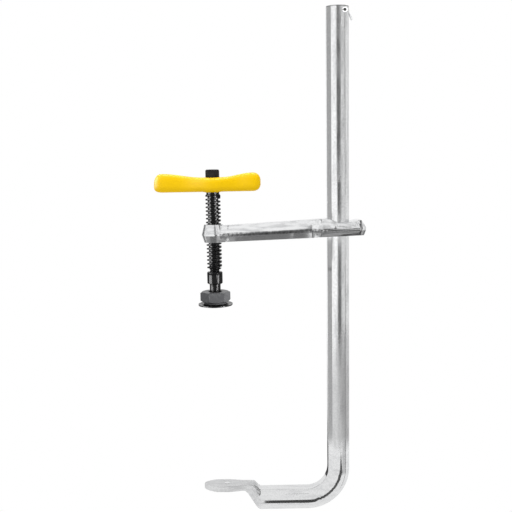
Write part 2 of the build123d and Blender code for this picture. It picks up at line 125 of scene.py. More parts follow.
class Facing(Enum):
    """Ways that a card may stand, as turns about X, Y and Z in degrees."""

    LEVEL = (0.0, 0.0, 0.0)
    FRONT = (90.0, 0.0, 0.0)
    SIDE = (0.0, 90.0, 0.0)
    FRONT_ALONG_BEND = (90.0, -46.0, 0.0)


class Bench:
    """Modelling steps that the sub-assemblies share."""

    merge_within: float = 2e-6
    seed_size: float = 0.001
    skin_suffix: str = "_skin"

    @staticmethod
    def only(*objs: bpy.types.Object) -> None:
        """Select these objects alone, the first one active.

        Args:
            objs: Objects to select.
        """
        bpy.ops.object.select_all(action="DESELECT")
        for obj in objs:
            obj.select_set(True)
        bpy.context.view_layer.objects.active = objs[0]

    @staticmethod
    def add(operator: Callable[..., object], **settings: object) -> bpy.types.Object:
        """Add an object by an operator, with nothing else selected.

        Args:
            operator: Operator that adds the object.
            settings: Settings of the operator.

        Returns:
            The new object.
        """
        bpy.ops.object.select_all(action="DESELECT")
        operator(**settings)
        return bpy.context.view_layer.objects.active

    @staticmethod
    def modify(obj: bpy.types.Object, kind: str, **settings: object) -> None:
        """Add a modifier, set it and apply it.

        Args:
            obj: Object to change.
            kind: Modifier type.
            settings: Modifier properties.
        """
        Bench.only(obj)
        bpy.ops.object.modifier_add(type=kind)
        step = obj.modifiers[-1]
        for key, value in settings.items():
            setattr(step, key, value)
        bpy.ops.object.modifier_apply(modifier=step.name)

    @staticmethod
    def cut(obj: bpy.types.Object, tool: bpy.types.Object) -> None:
        """Take a tool's shape out of an object and remove the tool.

        Args:
            obj: Object to cut.
            tool: Closed cutter.
        """
        Bench.modify(obj, "BOOLEAN", operation="DIFFERENCE", object=tool, solver="EXACT")
        Bench.only(tool)
        bpy.ops.object.delete()

    @staticmethod
    def tidy(obj: bpy.types.Object, angle: float) -> None:
        """Merge doubled points, turn faces outward and smooth the gentle edges.

        Args:
            obj: Object to tidy.
            angle: Edges flatter than this, in degrees, are smoothed.
        """
        Bench.only(obj)
        bpy.ops.object.mode_set(mode="EDIT")
        bpy.ops.mesh.select_all(action="SELECT")
        bpy.ops.mesh.remove_doubles(threshold=Bench.merge_within)
        bpy.ops.mesh.normals_make_consistent(inside=False)
        bpy.ops.object.mode_set(mode="OBJECT")
        bpy.ops.object.shade_smooth_by_angle(angle=radians(angle))
        Bench.modify(obj, "WEIGHTED_NORMAL", keep_sharp=True)

    @staticmethod
    def skin(node: str, angle: float) -> bpy.types.Object:
        """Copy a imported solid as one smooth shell.

        Args:
            node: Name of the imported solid.
            angle: Edges flatter than this, in degrees, are smoothed.

        Returns:
            The copy, free of any parent.
        """
        Bench.only(frame["nodes"][node])
        bpy.ops.object.duplicate()
        copy = bpy.context.view_layer.objects.active
        bpy.ops.object.parent_clear(type="CLEAR_KEEP_TRANSFORM")
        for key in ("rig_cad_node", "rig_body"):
            del copy[key]
        copy.name = node + Bench.skin_suffix
        Bench.tidy(copy, angle)
        return copy

    @staticmethod
    def loop(points: Sequence[Point], name: str) -> bpy.types.Object:
        """Draw a closed loop of edges, corner by corner.

        Args:
            points: Places of the loop's corners.
            name: Object's name.

        Returns:
            The wire object at the origin.
        """
        obj = Bench.add(bpy.ops.mesh.primitive_plane_add, size=Bench.seed_size)
        obj.name = name
        bpy.ops.object.mode_set(mode="EDIT")
        bpy.ops.mesh.select_all(action="SELECT")
        bpy.ops.mesh.merge(type="CENTER")
        bpy.ops.transform.translate(value=points[0])
        for here, there in zip(points, points[1:]):
            step = tuple(b - a for a, b in zip(here, there))
            bpy.ops.mesh.extrude_region_move(TRANSFORM_OT_translate={"value": step})
        bpy.ops.mesh.select_all(action="SELECT")
        bpy.ops.mesh.edge_face_add()
        bpy.ops.mesh.delete(type="ONLY_FACE")
        bpy.ops.object.mode_set(mode="OBJECT")
        return obj

    @staticmethod
    def wear(
        obj: bpy.types.Object,
        material: bpy.types.Material,
        slot: Slot,
        body: Body,
        stands_for: str,
    ) -> bpy.types.Object:
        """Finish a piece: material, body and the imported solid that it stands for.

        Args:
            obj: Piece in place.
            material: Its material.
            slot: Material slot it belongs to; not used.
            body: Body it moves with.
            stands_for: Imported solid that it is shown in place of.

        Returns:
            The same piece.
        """
        obj.data.materials.clear()
        obj.data.materials.append(material)
        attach(obj, body.value)
        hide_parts(stands_for)
        return obj


class Graph:
    """Node graph of one material, with short calls to add and join nodes."""

    octave_strength: float = 0.55
    edge_samples: int = 6

    def __init__(self, name: str) -> None:
        """Start a material with its shader alone.

        Args:
            name: Name of the material.
        """
        self.material = bpy.data.materials.new(name)
        self.material.use_nodes = True
        self.tree = self.material.node_tree
        self.shader = self.tree.nodes["Principled BSDF"]

    def set(self, **values: object) -> None:
        """Set constants on the shader.

        Args:
            values: Socket names, with underscores for spaces, and their values.
        """
        for key, value in values.items():
            self.shader.inputs[key.replace("_", " ")].default_value = value

    def glow(self, strength: float) -> None:
        """Make the surface shine evenly in white and mirror nothing.

        Args:
            strength: Brightness, 1 for white.
        """
        self.set(
            Base_Color=(0.0, 0.0, 0.0, 1.0),
            Specular_IOR_Level=0.0,
            Emission_Color=(1.0, 1.0, 1.0, 1.0),
            Emission_Strength=strength,
        )

    def add(self, kind: str, **values: object) -> bpy.types.Node:
        """Add a node and set its sockets.

        Args:
            kind: Node type.
            values: Socket names, with underscores for spaces, and their values.

        Returns:
            The new node.
        """
        node = self.tree.nodes.new(kind)
        for key, value in values.items():
            node.inputs[key.replace("_", " ")].default_value = value
        return node

    def join(self, out: Socket, into: Socket) -> None:
        """Link two sockets.

        Args:
            out: Output socket.
            into: Input socket.
        """
        self.tree.links.new(out, into)

    def noise(self, scale: Point, octaves: float) -> Socket:
        """Noise on object coordinates.

        Args:
            scale: Cells per metre along each axis.
            octaves: Octaves of finer noise.

        Returns:
            The noise's value.
        """
        place = self.add("ShaderNodeTexCoord")
        stretch = self.add("ShaderNodeMapping", Scale=scale)
        noise = self.add(
            "ShaderNodeTexNoise", Scale=1.0, Detail=octaves, Roughness=self.octave_strength
        )
        self.join(place.outputs["Object"], stretch.inputs["Vector"])
        self.join(stretch.outputs["Vector"], noise.inputs["Vector"])
        return noise.outputs["Fac"]

    def span(self, value: Socket, low: float, high: float, start: float, end: float) -> Socket:
        """Map a value from one range to another, clamped.

        Args:
            value: Value to map.
            low: Start of its range.
            high: End of its range.
            start: Result at low.
            end: Result at high.

        Returns:
            The mapped value.
        """
        node = self.add("ShaderNodeMapRange", From_Min=low, From_Max=high, To_Min=start, To_Max=end)
        self.join(value, node.inputs["Value"])
        return node.outputs["Result"]

    def place(self) -> list[Socket]:
        """Object coordinates.

        Returns:
            The three coordinates.
        """
        place = self.add("ShaderNodeTexCoord")
        parts = self.add("ShaderNodeSeparateXYZ")
        self.join(place.outputs["Object"], parts.inputs["Vector"])
        return list(parts.outputs)

    def reckon(self, rule: str, first: Socket, second: Term) -> Socket:
        """Join two values by a rule of arithmetic.

        Args:
            rule: Operation of the math node.
            first: First value.
            second: Second value, a socket or a number.

        Returns:
            The result.
        """
        node = self.tree.nodes.new("ShaderNodeMath")
        node.operation = rule
        self.join(first, node.inputs[0])
        if isinstance(second, float):
            node.inputs[1].default_value = second
        else:
            self.join(second, node.inputs[1])
        return node.outputs["Value"]

    def sum(self, first: Socket, second: Term) -> Socket:
        """Add two values."""
        return self.reckon("ADD", first, second)

    def product(self, first: Socket, second: Term) -> Socket:
        """Multiply two values."""
        return self.reckon("MULTIPLY", first, second)

    def radius(self, first: Socket, second: Socket, axis: Pair) -> Socket:
        """Distance from an axis along the third coordinate.

        Args:
            first: First coordinate across the axis.
            second: Second coordinate across the axis.
            axis: Place of the axis in those coordinates.

        Returns:
            The distance.
        """
        squares = [
            self.reckon("POWER", self.sum(value, -centre), 2.0)
            for value, centre in zip((first, second), axis)
        ]
        return self.reckon("POWER", self.sum(*squares), 0.5)

    def touch(self, mask: Socket, tone: Socket) -> Socket:
        """Keep a tone to a mask.

        Args:
            mask: 1 where the tone holds, 0 elsewhere.
            tone: Tone inside the mask.

        Returns:
            The tone inside the mask and 1 outside it.
        """
        return self.sum(self.product(self.sum(tone, -1.0), mask), 1.0)

    def shade(self, colour: Socket, tone: Socket) -> Socket:
        """Darken a colour.

        Args:
            colour: Colour to darken.
            tone: Share of its light that is left.

        Returns:
            The darkened colour.
        """
        node = self.tree.nodes.new("ShaderNodeVectorMath")
        node.operation = "SCALE"
        self.join(colour, node.inputs["Vector"])
        self.join(tone, node.inputs["Scale"])
        return node.outputs["Vector"]

    def blend(self, share: Socket, first: Colour, second: Colour) -> Socket:
        """Blend two colours.

        Args:
            share: Share of the second colour.
            first: First colour.
            second: Second colour.

        Returns:
            The blended colour.
        """
        node = self.tree.nodes.new("ShaderNodeMix")
        node.data_type = "RGBA"
        colours = [s for s in node.inputs if s.type == "RGBA"]
        colours[0].default_value = (*first, 1.0)
        colours[1].default_value = (*second, 1.0)
        self.join(share, node.inputs["Factor"])
        return next(s for s in node.outputs if s.type == "RGBA")

    def relief(self, height: Socket, strength: float, distance: float, edge: float) -> None:
        """Give the shader a bumpy normal with softened edges.

        Args:
            height: Height of the relief.
            strength: Strength of the bump.
            distance: Depth of the bump.
            edge: Radius that edges are softened by, 0 for none.
        """
        bump = self.add("ShaderNodeBump", Strength=strength, Distance=distance)
        self.join(height, bump.inputs["Height"])
        if edge > 0:
            bevel = self.add("ShaderNodeBevel", Radius=edge)
            bevel.samples = self.edge_samples
            self.join(bevel.outputs["Normal"], bump.inputs["Normal"])
        self.join(bump.outputs["Normal"], self.shader.inputs["Normal"])


@dataclass(frozen=True)
class Zinc:
    """Bright zinc on the bar, streaked along it, rougher and darkened by painted shade above the bend,
    and satin on the jaw.

    Pairs are the ends of a soft edge or of a range of noise. Below low_zone the streaks
    turn along the lower arm. top_edge is measured down from the bar's top.
    """

    name: str
    light: Colour = (0.965, 0.97, 0.975)
    dark: Colour = (0.82, 0.825, 0.835)
    grain: Point = (260.0, 260.0, 34.0)
    grain_octaves: float = 5.0
    cloud_span: Pair = (0.45, 0.75)
    sheen_span: Pair = (0.35, 0.7)
    smooth: float = 0.10
    rough: float = 0.26
    low_zone: Pair = (0.03, 0.05)
    low_grain: Point = (40.0, 260.0, 260.0)
    low_tone: float = 0.80
    low_smooth: float = 0.05
    low_rough: float = 0.12
    speck: float = 620.0
    speck_octaves: float = 3.0
    bump: float = 0.05
    depth: float = 0.00004
    edge: float = 0.0006
    # A band above the bend is rougher and darkened by painted shade.
    painted_shade_from: Pair = (0.035, 0.055)
    painted_shade_to: Pair = (0.11, 0.19)
    painted_shade_rough: float = 0.25
    painted_shade_tone: float = 0.74
    jaw_end: Pair = (0.039, 0.046)
    jaw_tone: float = 0.94
    jaw_rough: float = 0.42
    top_edge: Pair = (0.0014, 0.0008)
    top_tone: float = 0.45
    fleck_span: Pair = (0.38, 0.6)
    fleck: float = 0.90
    # The dimple is given painted shade on its near slope and a painted highlight on its far slope.
    dimple_x: float = 0.0076
    dimple_radius: float = 0.0031
    dimple_rim: float = 0.0003
    dimple_depth: Pair = (-0.0012, -0.0006)
    dimple_soft: float = 0.0009
    dimple_painted_shade_and_highlight: Pair = (0.66, 1.3)

    def dimple(self, graph: Graph, x: Socket, y: Socket, z: Socket) -> Socket:
        """Paint shade on the near slope of the jaw's dimple and a highlight on its far slope.

        Args:
            graph: Graph of the material.
            x: First object coordinate.
            y: Second object coordinate.
            z: Third object coordinate.

        Returns:
            The painted shade and highlight as a tone, 1 outside the dimple.
        """
        radius = graph.radius(x, y, (self.dimple_x, 0.0))
        rim = self.dimple_radius - self.dimple_rim
        hollow = graph.span(radius, rim, self.dimple_radius, 1.0, 0.0)
        hollow = graph.product(hollow, graph.span(z, *self.dimple_depth, 0.0, 1.0))
        # Painted shade on the near slope, painted highlight on the far slope.
        slope = graph.span(y, -self.dimple_soft, self.dimple_soft, *self.dimple_painted_shade_and_highlight)
        return graph.touch(hollow, slope)

    def material(self) -> bpy.types.Material:
        """Build the finish.

        Returns:
            The material.
        """
        graph = Graph(self.name)
        x, y, z = graph.place()
        fine = graph.noise((self.speck,) * 3, self.speck_octaves)
        upper = graph.noise(self.grain, self.grain_octaves)
        lower = graph.noise(self.low_grain, self.grain_octaves)
        high = graph.span(z, *self.low_zone, 0.0, 1.0)
        low = graph.span(z, *self.low_zone, 1.0, 0.0)
        cloud = graph.sum(graph.product(upper, high), graph.product(lower, low))
        # Band above the bend: rougher, and darkened by painted shade.
        worn = graph.span(z, *self.painted_shade_from, 0.0, 1.0)
        worn = graph.product(worn, graph.span(z, *self.painted_shade_to, 1.0, 0.0))
        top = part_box("bar")[1].z
        tone = self.dimple(graph, x, y, z)
        for factor in (
            graph.span(x, *self.jaw_end, self.jaw_tone, 1.0),
            graph.span(z, *(top - drop for drop in self.top_edge), 1.0, self.top_tone),
            graph.span(high, 0.0, 1.0, self.low_tone, 1.0),
            graph.span(worn, 0.0, 1.0, 1.0, self.painted_shade_tone),
            graph.span(fine, *self.fleck_span, self.fleck, 1.0),
        ):
            tone = graph.product(tone, factor)
        colour = graph.blend(graph.span(cloud, *self.cloud_span, 0.0, 1.0), self.light, self.dark)
        streaks = graph.span(upper, *self.sheen_span, self.smooth, self.rough)
        low_streaks = graph.span(lower, *self.sheen_span, self.low_smooth, self.low_rough)
        rough = graph.sum(graph.product(streaks, high), graph.product(low_streaks, low))
        rough = graph.sum(rough, graph.span(x, *self.jaw_end, self.jaw_rough, 0.0))
        rough = graph.sum(rough, graph.product(worn, self.painted_shade_rough))
        graph.set(Metallic=1.0)
        graph.join(graph.shade(colour, tone), graph.shader.inputs["Base Color"])
        graph.join(rough, graph.shader.inputs["Roughness"])
        graph.relief(fine, self.bump, self.depth, self.edge)
        return graph.material


@dataclass(frozen=True)
class ForgedZinc:
    """Zinc on a drop forging, streaked along X, torn at the flash and darkened by painted shade under
    the head.

    Pairs are the ends of a soft edge or of a range. The parting line has its height at
    X = 0 and its rise, and under_edge is measured up from it.
    """

    name: str
    light: Colour = (0.84, 0.845, 0.85)
    dark: Colour = (0.52, 0.525, 0.535)
    grain: Point = (50.0, 300.0, 300.0)
    grain_octaves: float = 5.0
    cloud_span: Pair = (0.45, 0.75)
    sheen_span: Pair = (0.35, 0.7)
    smooth: float = 0.13
    rough: float = 0.28
    speck: float = 480.0
    speck_octaves: float = 3.0
    bump: float = 0.10
    depth: float = 0.00008
    edge: float = 0.0005
    parting: Pair = (0.2776, 0.028)
    flash_half: float = 0.0017
    flash_soft: float = 0.0004
    flash_from: Pair = (0.014, 0.019)
    flash_to: Pair = (0.12, 0.135)
    flash_tone: Pair = (0.34, 0.72)
    dashes: Point = (700.0, 40.0, 260.0)
    dash_octaves: float = 3.0
    dash_span: Pair = (0.42, 0.62)
    under_edge: Pair = (-0.0018, -0.0012)
    under_from: Pair = (0.1125, 0.1145)
    # Painted shade on the head's lower side.
    under_painted_shade: float = 0.38

    def material(self) -> bpy.types.Material:
        """Build the finish.

        Returns:
            The material.
        """
        graph = Graph(self.name)
        x, _, z = graph.place()
        cloud = graph.noise(self.grain, self.grain_octaves)
        height, rise = self.parting
        above = graph.sum(z, graph.sum(graph.product(x, -rise), -height))
        far = graph.reckon("ABSOLUTE", above, 0.0)
        flash = graph.span(far, self.flash_half, self.flash_half + self.flash_soft, 1.0, 0.0)
        flash = graph.product(flash, graph.span(x, *self.flash_from, 0.0, 1.0))
        flash = graph.product(flash, graph.span(x, *self.flash_to, 1.0, 0.0))
        dashes = graph.noise(self.dashes, self.dash_octaves)
        torn = graph.touch(flash, graph.span(dashes, *self.dash_span, *self.flash_tone))
        # Painted shade on the head's lower side, below the parting line.
        under = graph.span(above, *self.under_edge, 1.0, 0.0)
        under = graph.product(under, graph.span(x, *self.under_from, 0.0, 1.0))
        tone = graph.product(torn, graph.span(under, 0.0, 1.0, 1.0, self.under_painted_shade))
        colour = graph.blend(graph.span(cloud, *self.cloud_span, 0.0, 1.0), self.light, self.dark)
        rough = graph.span(cloud, *self.sheen_span, self.smooth, self.rough)
        graph.set(Metallic=1.0)
        graph.join(graph.shade(colour, tone), graph.shader.inputs["Base Color"])
        graph.join(rough, graph.shader.inputs["Roughness"])
        fine = graph.noise((self.speck,) * 3, self.speck_octaves)
        graph.relief(fine, self.bump, self.depth, self.edge)
        return graph.material


@dataclass(frozen=True)
class Oxide:
    """Dark oxide or phosphate skin on steel, faintly oiled."""

    name: str
    colour: Colour = (0.003, 0.003, 0.0034)
    worn: Colour = (0.008, 0.008, 0.0085)
    rough: float = 0.15
    shine: float = 0.16
    patch: float = 260.0
    patch_octaves: float = 4.0
    patch_span: Pair = (0.4, 0.75)
    speck: float = 1500.0
    speck_octaves: float = 2.0
    bump: float = 0.2
    depth: float = 0.00004
    edge: float = 0.0002

    def material(self) -> bpy.types.Material:
        """Build the finish.

        Returns:
            The material.
        """
        graph = Graph(self.name)
        cloud = graph.noise((self.patch,) * 3, self.patch_octaves)
        fine = graph.noise((self.speck,) * 3, self.speck_octaves)
        graph.set(Roughness=self.rough, Specular_IOR_Level=self.shine)
        colour = graph.blend(graph.span(cloud, *self.patch_span, 0.0, 1.0), self.colour, self.worn)
        graph.join(colour, graph.shader.inputs["Base Color"])
        graph.relief(fine, self.bump, self.depth, self.edge)
        return graph.material


@dataclass(frozen=True)
class Plastic:
    """Satin moulded plastic."""

    name: str
    colour: Colour = (0.96, 0.60, 0.001)
    rough: float = 0.5
    shine: float = 0.05
    speck: float = 1400.0
    speck_octaves: float = 2.0
    bump: float = 0.12
    depth: float = 0.00004

    def material(self) -> bpy.types.Material:
        """Build the finish.

        Returns:
            The material.
        """
        graph = Graph(self.name)
        fine = graph.noise((self.speck,) * 3, self.speck_octaves)
        graph.set(
            Base_Color=(*self.colour, 1.0),
            Roughness=self.rough,
            Specular_IOR_Level=self.shine,
        )
        graph.relief(fine, self.bump, self.depth, 0.0)
        return graph.material


@dataclass(frozen=True)
class PlainSteel:
    """Uncoated or spring-tempered steel."""

    name: str
    colour: Colour = (0.42, 0.42, 0.43)
    rough: float = 0.32
    speck: float = 1200.0
    speck_octaves: float = 2.0
    bump: float = 0.15
    depth: float = 0.00003

    def material(self) -> bpy.types.Material:
        """Build the finish.

        Returns:
            The material.
        """
        graph = Graph(self.name)
        fine = graph.noise((self.speck,) * 3, self.speck_octaves)
        graph.set(Base_Color=(*self.colour, 1.0), Metallic=1.0, Roughness=self.rough)
        graph.relief(fine, self.bump, self.depth, 0.0)
        return graph.material


@dataclass(frozen=True)
class BoredSteel:
    """Plated steel round a hole along Y, with painted shade in the hole and on its rim."""

    name: str
    axis: Pair
    rim: Pair = (0.001575, 0.00168)
    colour: Colour = (0.88, 0.885, 0.89)
    # Painted shade inside the hole.
    painted_hole_shade: Colour = (0.03, 0.03, 0.03)
    rough: float = 0.18

    def material(self) -> bpy.types.Material:
        """Build the finish.

        Returns:
            The material.
        """
        graph = Graph(self.name)
        x, _, z = graph.place()
        # Painted shade inside the hole, fading out across its rim.
        inside = graph.span(graph.radius(x, z, self.axis), *self.rim, 1.0, 0.0)
        colour = graph.blend(inside, self.colour, self.painted_hole_shade)
        graph.set(Metallic=1.0, Roughness=self.rough)
        graph.join(colour, graph.shader.inputs["Base Color"])
        return graph.material


@dataclass
class BarAssembly:
    """Bar with its fixed jaw, and the stop at its upper end."""

    zinc: Zinc = field(default_factory=lambda: Zinc("bar zinc"))
    pin: BoredSteel = field(default_factory=lambda: BoredSteel("pin zinc", axis=PIN_AXIS))
    barb: PlainSteel = field(
        default_factory=lambda: PlainSteel("barb steel", colour=(0.90, 0.905, 0.91), rough=0.5)
    )
    smoothing: float = 24.0

    def build(self) -> list[bpy.types.Object]:
        """Make smooth shells of the bar and its stop.

        Returns:
            The shells of bar, pin and barb.
        """
        return [Bench.skin(node, self.smoothing) for node in ("bar", "stop_pin", "stop_spring")]

    def dress(self) -> list[bpy.types.Object]:
        """Build the pieces and finish them.

        Returns:
            The finished pieces.
        """
        bar, pin, barb = self.build()
        return [
            Bench.wear(bar, self.zinc.material(), Slot.BAR, Body.FRAME, "bar"),
            Bench.wear(pin, self.pin.material(), Slot.SPRING, Body.FRAME, "stop_pin"),
            Bench.wear(barb, self.barb.material(), Slot.SPRING, Body.STOP, "stop_spring"),
        ]


@dataclass
class SlidingArm:
    """Forged arm with its eye."""

    zinc: ForgedZinc = field(default_factory=lambda: ForgedZinc("arm zinc"))
    smoothing: float = 24.0

    def build(self) -> bpy.types.Object:
        """Make the arm's smooth shell."""
        return Bench.skin("sliding_arm", self.smoothing)

    def dress(self) -> list[bpy.types.Object]:
        """Build the arm and finish it.

        Returns:
            The finished arm.
        """
        zinc = self.zinc.material()
        return [Bench.wear(self.build(), zinc, Slot.FORGING, Body.ARM, "sliding_arm")]


@dataclass(frozen=True)
class Helix:
    """Trapezoidal thread, by the space between its turns."""

    pitch: float = 0.004
    root: float = 0.00575
    crest: float = 0.008
    flank: float = 15.0
    root_flat: float = 0.00136
    beyond: float = 0.0006
    steps: int = 48
    smoothing: float = 25.0

    def space(self, start: float, turns: int) -> bpy.types.Object:
        """Sweep the space between the turns into a closed coil.

        Args:
            start: Height of the coil's lower end, at the root's middle.
            turns: Number of turns.

        Returns:
            The coil.
        """
        outer = self.crest + self.beyond
        half_root = self.root_flat / 2
        half_outer = half_root + (outer - self.root) * tan(radians(self.flank))
        corners = [
            (self.root, 0.0, start - half_root),
            (outer, 0.0, start - half_outer),
            (outer, 0.0, start + half_outer),
            (self.root, 0.0, start + half_root),
        ]
        coil = Bench.loop(corners, "thread_space")
        Bench.modify(
            coil,
            "SCREW",
            axis="Z",
            angle=radians(360.0),
            screw_offset=self.pitch,
            iterations=turns,
            steps=self.steps,
            render_steps=self.steps,
            use_smooth_shade=False,
        )
        Bench.only(coil)
        bpy.ops.object.mode_set(mode="EDIT")
        bpy.ops.mesh.select_all(action="DESELECT")
        bpy.ops.mesh.select_mode(type="EDGE")
        bpy.ops.mesh.select_non_manifold(extend=False)
        bpy.ops.mesh.edge_face_add()
        bpy.ops.object.mode_set(mode="OBJECT")
        Bench.tidy(coil, self.smoothing)
        return coil


@dataclass
class SpindleAssembly:
    """Threaded spindle with its stud, handle core and snap ring."""

    thread: Helix = field(default_factory=Helix)
    oxide: Oxide = field(default_factory=lambda: Oxide("black oxide"))
    core: PlainSteel = field(default_factory=lambda: PlainSteel("core steel"))
    thread_low: float = 0.2386
    turns: int = 20
    smoothing: float = 24.0

    def build(self) -> list[bpy.types.Object]:
        """Cut the thread into a shell of the spindle and make the other shells.

        Returns:
            Spindle, stud, core and ring.
        """
        spindle = Bench.skin("spindle", self.smoothing)
        Bench.cut(spindle, self.thread.space(self.thread_low, self.turns))
        Bench.tidy(spindle, self.smoothing)
        plain = ("swivel_stud", "handle_core", "retaining_ring")
        return [spindle, *(Bench.skin(node, self.smoothing) for node in plain)]

    def dress(self) -> list[bpy.types.Object]:
        """Build the pieces and finish them.

        Returns:
            The finished pieces.
        """
        oxide = self.oxide.material()
        core = self.core.material()
        spindle, stud, hub, ring = self.build()
        return [
            Bench.wear(spindle, oxide, Slot.OXIDE, Body.SPINDLE, "spindle"),
            Bench.wear(stud, oxide, Slot.OXIDE, Body.SPINDLE, "swivel_stud"),
            Bench.wear(hub, core, Slot.CORE, Body.SPINDLE, "handle_core"),
            Bench.wear(ring, core, Slot.SPRING, Body.RING, "retaining_ring"),
        ]


@dataclass
class Handle:
    """Moulded wing grip and the cap screw that holds it."""

    plastic: Plastic = field(default_factory=lambda: Plastic("yellow grip"))
    oxide: Oxide = field(
        default_factory=lambda: Oxide(
            "screw oxide",
            colour=(0.015, 0.015, 0.016),
            worn=(0.03, 0.03, 0.031),
            rough=0.45,
            shine=0.12,
        )
    )
    grip_smoothing: float = 35.0
    screw_smoothing: float = 30.0
    socket_sides: int = 6
    socket_flats: float = 0.008
    socket_deep: float = 0.0055
    scallops: Pair = (-0.0381, 0.031)
    scallop_up: float = 0.0076
    scallop_size: Pair = (0.017, 0.0085)
    scallop_deep: float = 0.0018
    scallop_round: float = 0.007
    scallop_segments: int = 48
    scallop_rings: int = 24

    def build(self) -> list[bpy.types.Object]:
        """Make the grip with its thumb rests and the screw with its socket.

        Returns:
            Grip and screw.
        """
        grip = Bench.skin("handle_grip", self.grip_smoothing)
        self.scoop(grip)
        screw = Bench.skin("handle_screw", self.screw_smoothing)
        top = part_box("handle_screw")[1].z
        socket = Bench.add(
            bpy.ops.mesh.primitive_cylinder_add,
            vertices=self.socket_sides,
            radius=self.socket_flats / 2 / cos(radians(180.0 / self.socket_sides)),
            depth=2 * self.socket_deep,
            location=(0.0, 0.0, top),
        )
        Bench.cut(screw, socket)
        Bench.tidy(screw, self.screw_smoothing)
        return [grip, screw]

    def scoop(self, grip: bpy.types.Object) -> None:
        """Cut a shallow thumb rest into each wing, front and back.

        Args:
            grip: Grip's shell.
        """
        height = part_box("handle_grip")[0].z + self.scallop_up
        share = (1.0 - (1.0 - self.scallop_deep / self.scallop_round) ** 2) ** 0.5
        wide, tall = (size / 2 / share for size in self.scallop_size)
        out = self.scallop_round - self.scallop_deep
        for centre in self.scallops:
            for side in (-1.0, 1.0):
                near = grip.closest_point_on_mesh((centre, side, height))[1]
                tool = Bench.add(
                    bpy.ops.mesh.primitive_uv_sphere_add,
                    segments=self.scallop_segments,
                    ring_count=self.scallop_rings,
                    radius=1.0,
                    location=(centre, near.y + side * out, near.z),
                )
                tool.scale = (wide, self.scallop_round, tall)
                bpy.ops.object.transform_apply(location=True, rotation=True, scale=True)
                Bench.cut(grip, tool)
        Bench.tidy(grip, self.grip_smoothing)

    def dress(self) -> list[bpy.types.Object]:
        """Build the pieces and finish them.

        Returns:
            The finished pieces.
        """
        grip, screw = self.build()
        return [
            Bench.wear(grip, self.plastic.material(), Slot.GRIP, Body.SPINDLE, "handle_grip"),
            Bench.wear(screw, self.oxide.material(), Slot.OXIDE, Body.SPINDLE, "handle_screw"),
        ]


@dataclass
class SwivelPad:
    """Hexagonal cap and flanged foot on the ball."""

    cap: Oxide = field(
        default_factory=lambda: Oxide(
            "cap phosphate",
            colour=(0.07, 0.071, 0.075),
            worn=(0.1, 0.101, 0.106),
            rough=0.35,
            shine=0.2,
            edge=0.0006,
        )
    )
    foot: Oxide = field(default_factory=lambda: Oxide("foot oxide"))
    smoothing: float = 24.0

    def build(self) -> list[bpy.types.Object]:
        """Make smooth shells of the cap and the foot."""
        return [Bench.skin(node, self.smoothing) for node in ("pad_cap", "pad_foot")]

    def dress(self) -> list[bpy.types.Object]:
        """Build the pieces and finish them.

        Returns:
            The finished pieces.
        """
        cap, foot = self.build()
        return [
            Bench.wear(cap, self.cap.material(), Slot.PAD, Body.PAD, "pad_cap"),
            Bench.wear(foot, self.foot.material(), Slot.OXIDE, Body.PAD, "pad_foot"),
        ]


@dataclass(frozen=True)
class Card:
    """Plain card that only reflections see, in a tone from 0 for black to 1 for white."""

    name: str
    centre: Point
    size: Pair
    facing: Facing
    tone: float

    def build(self) -> None:
        """Place the card."""
        card = Bench.add(
            bpy.ops.mesh.primitive_plane_add,
            size=1.0,
            location=self.centre,
            rotation=tuple(radians(turn) for turn in self.facing.value),
        )
        card.name = self.name
        card.scale = (*self.size, 1.0)
        graph = Graph(self.name)
        graph.glow(self.tone)
        card.data.materials.append(graph.material)
        for ray in ("camera", "diffuse", "transmission", "volume_scatter", "shadow"):
            setattr(card, "visible_" + ray, False)


@dataclass(frozen=True)
class Softbox:
    """Area light aimed at a point, its power in watts."""

    name: str
    place: Point
    aim: Point
    size: Pair
    power: float
    reach: Reach = Reach.BOTH
    lit: Lit = Lit.ALL

    def build(self) -> None:
        """Place the light, and keep it to its group of pieces if it has one."""
        lamp = Bench.add(bpy.ops.object.light_add, type="AREA", location=self.place)
        lamp.name = self.name
        lamp.data.shape = "RECTANGLE"
        lamp.data.size, lamp.data.size_y = self.size
        lamp.data.energy = self.power
        aim = Vector(self.aim) - Vector(self.place)
        lamp.rotation_euler = aim.to_track_quat("-Z", "Y").to_euler()
        lamp.visible_diffuse = self.reach is not Reach.SHEEN
        lamp.visible_glossy = self.reach is not Reach.MATTE
        if self.lit is not Lit.ALL:
            group = bpy.data.collections.new(self.name + " pieces")
            for piece in self.lit.value:
                group.objects.link(bpy.data.objects[piece + Bench.skin_suffix])
            lamp.light_linking.receiver_collection = group


